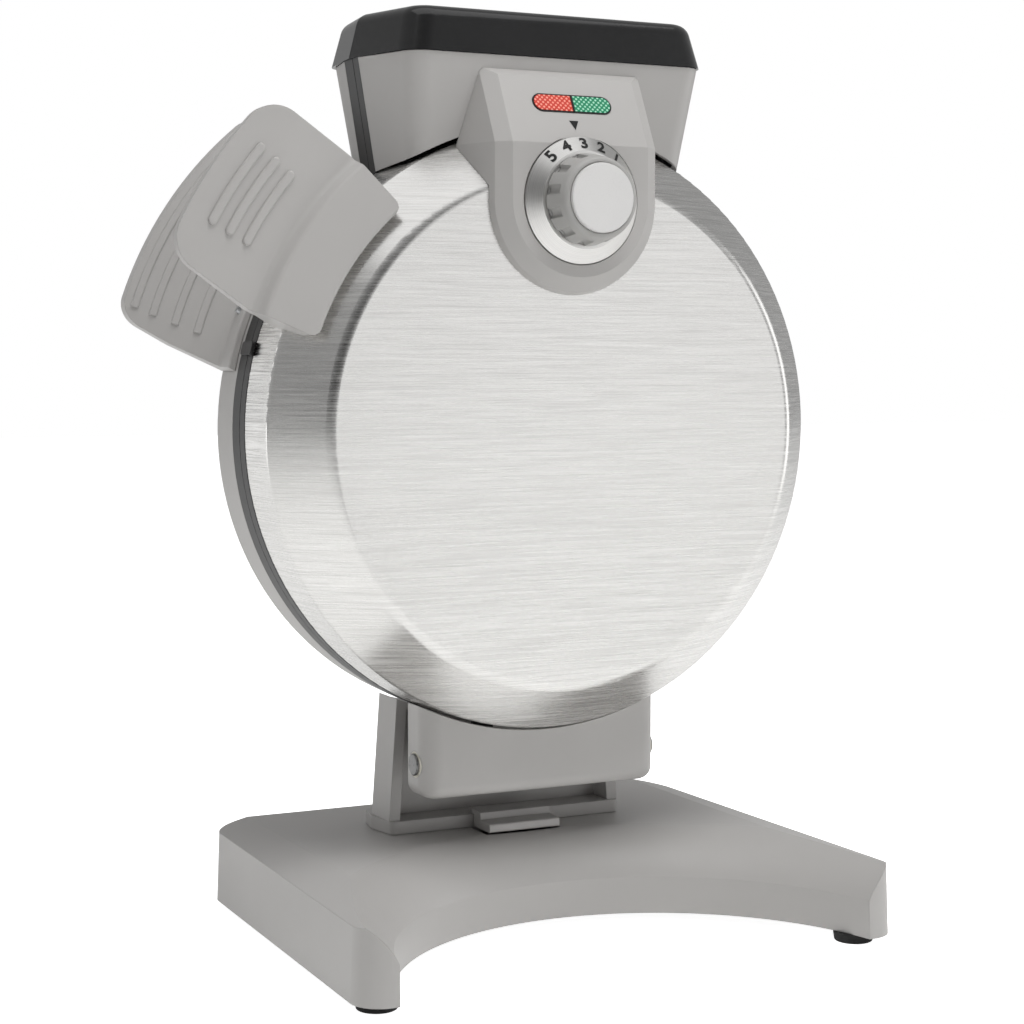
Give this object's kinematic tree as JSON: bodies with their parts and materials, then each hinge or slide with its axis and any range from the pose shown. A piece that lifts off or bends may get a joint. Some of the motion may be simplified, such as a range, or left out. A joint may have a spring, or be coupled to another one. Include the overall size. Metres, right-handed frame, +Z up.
{
  "type": "vertical waffle maker",
  "caption": "Upright round waffle maker: steel front half on a low hinge, spout on top, numbered heat dial, split handle tabs and an arched base.",
  "frame": {"origin": "on the worktop, below the middle of the grids, level in depth with the front edge of the cover's side band", "axes": "+Z up, +X to the right of a user who faces the dial, +Y away from that user, towards the back"},
  "size_m": [0.3144, 0.206, 0.4162],
  "materials": {
    "brushed_stainless": "fine horizontal brushing, satin",
    "grey_plastic": "satin warm light grey",
    "black_plastic": "satin black",
    "black_gloss": "polished black",
    "cast_aluminium": "dark non-stick coated casting",
    "heater_steel": "heat-darkened tube",
    "reflector_steel": "bright thin sheet",
    "hinge_steel": "ground steel",
    "bush_nylon": "off-white nylon",
    "zinc_screw": "zinc plated",
    "foot_rubber": "black, soft",
    "red_lens": "translucent red, dimpled behind",
    "green_lens": "translucent green, dimpled behind",
    "circuit_board": "green laminate",
    "thermostat_body": "dark moulded resin",
    "zinc_bracket": "zinc plated strip",
    "dial_metal": "bright turned ring, black figures",
    "knob_grey": "satin silver, fluted",
    "knob_face": "pale silver",
    "terminal_resin": "cream resin"
  },
  "bodies": {
    "stand": {"base_shell": "grey_plastic", "base_plate": "black_plastic", "rubber_feet": "foot_rubber", "base_screws": "zinc_screw", "stand_column": "grey_plastic", "hinge_pin": "hinge_steel", "rear_housing": "grey_plastic", "rear_rim": "black_plastic", "rear_rim_screws": "zinc_screw", "rear_grid_plate": "cast_aluminium", "rear_batter_dam": "cast_aluminium", "rear_heating_element": "heater_steel", "rear_reflector": "reflector_steel", "rear_spout_shell": "grey_plastic", "rear_spout_liner": "black_plastic", "rear_cap": "black_gloss", "rear_handle_tab": "grey_plastic", "rear_tab_screws": "zinc_screw", "latch_catch": "black_plastic", "terminal_block": "terminal_resin", "thermal_fuse": "thermostat_body", "cord_gland": "black_plastic"},
    "clip": {"base_clip": "grey_plastic"},
    "door": {"front_cover": "brushed_stainless", "cover_posts": "black_plastic", "front_rim": "black_plastic", "front_rim_screws": "zinc_screw", "front_grid_plate": "cast_aluminium", "front_batter_dam": "cast_aluminium", "front_heating_element": "heater_steel", "front_reflector": "reflector_steel", "front_spout_shell": "grey_plastic", "front_spout_liner": "black_plastic", "front_cap": "black_gloss", "hinge_block": "grey_plastic", "hinge_bushes": "bush_nylon", "control_pod": "grey_plastic", "red_lens": "red_lens", "green_lens": "green_lens", "lamp_board": "circuit_board", "thermostat": "thermostat_body", "thermostat_bracket": "zinc_bracket", "front_handle_tab": "grey_plastic", "front_tab_screws": "zinc_screw", "latch_hook": "black_plastic"},
    "dial": {"dial_spindle": "hinge_steel", "dial_skirt": "dial_metal", "dial_knob": "knob_grey", "knob_disc": "knob_face"}
  },
  "joints": [
    {"name": "door_hinge", "type": "hinge", "parent": "stand", "child": "door", "pos_m": [0, 0.017, 0.0797], "axis": [1, 0, 0], "range_deg": [0, 90]},
    {"name": "dial_turn", "type": "hinge", "parent": "door", "child": "dial", "pos_m": [0, -0.03, 0.3322], "axis": [0, 1, 0], "range_deg": [-48, 35]},
    {"name": "clip_press", "type": "hinge", "parent": "stand", "child": "clip", "pos_m": [0, 0.034, 0.0436], "axis": [1, 0, 0], "range_deg": [0, 6], "stiffness_Nm_per_rad": 0.6}
  ]
}
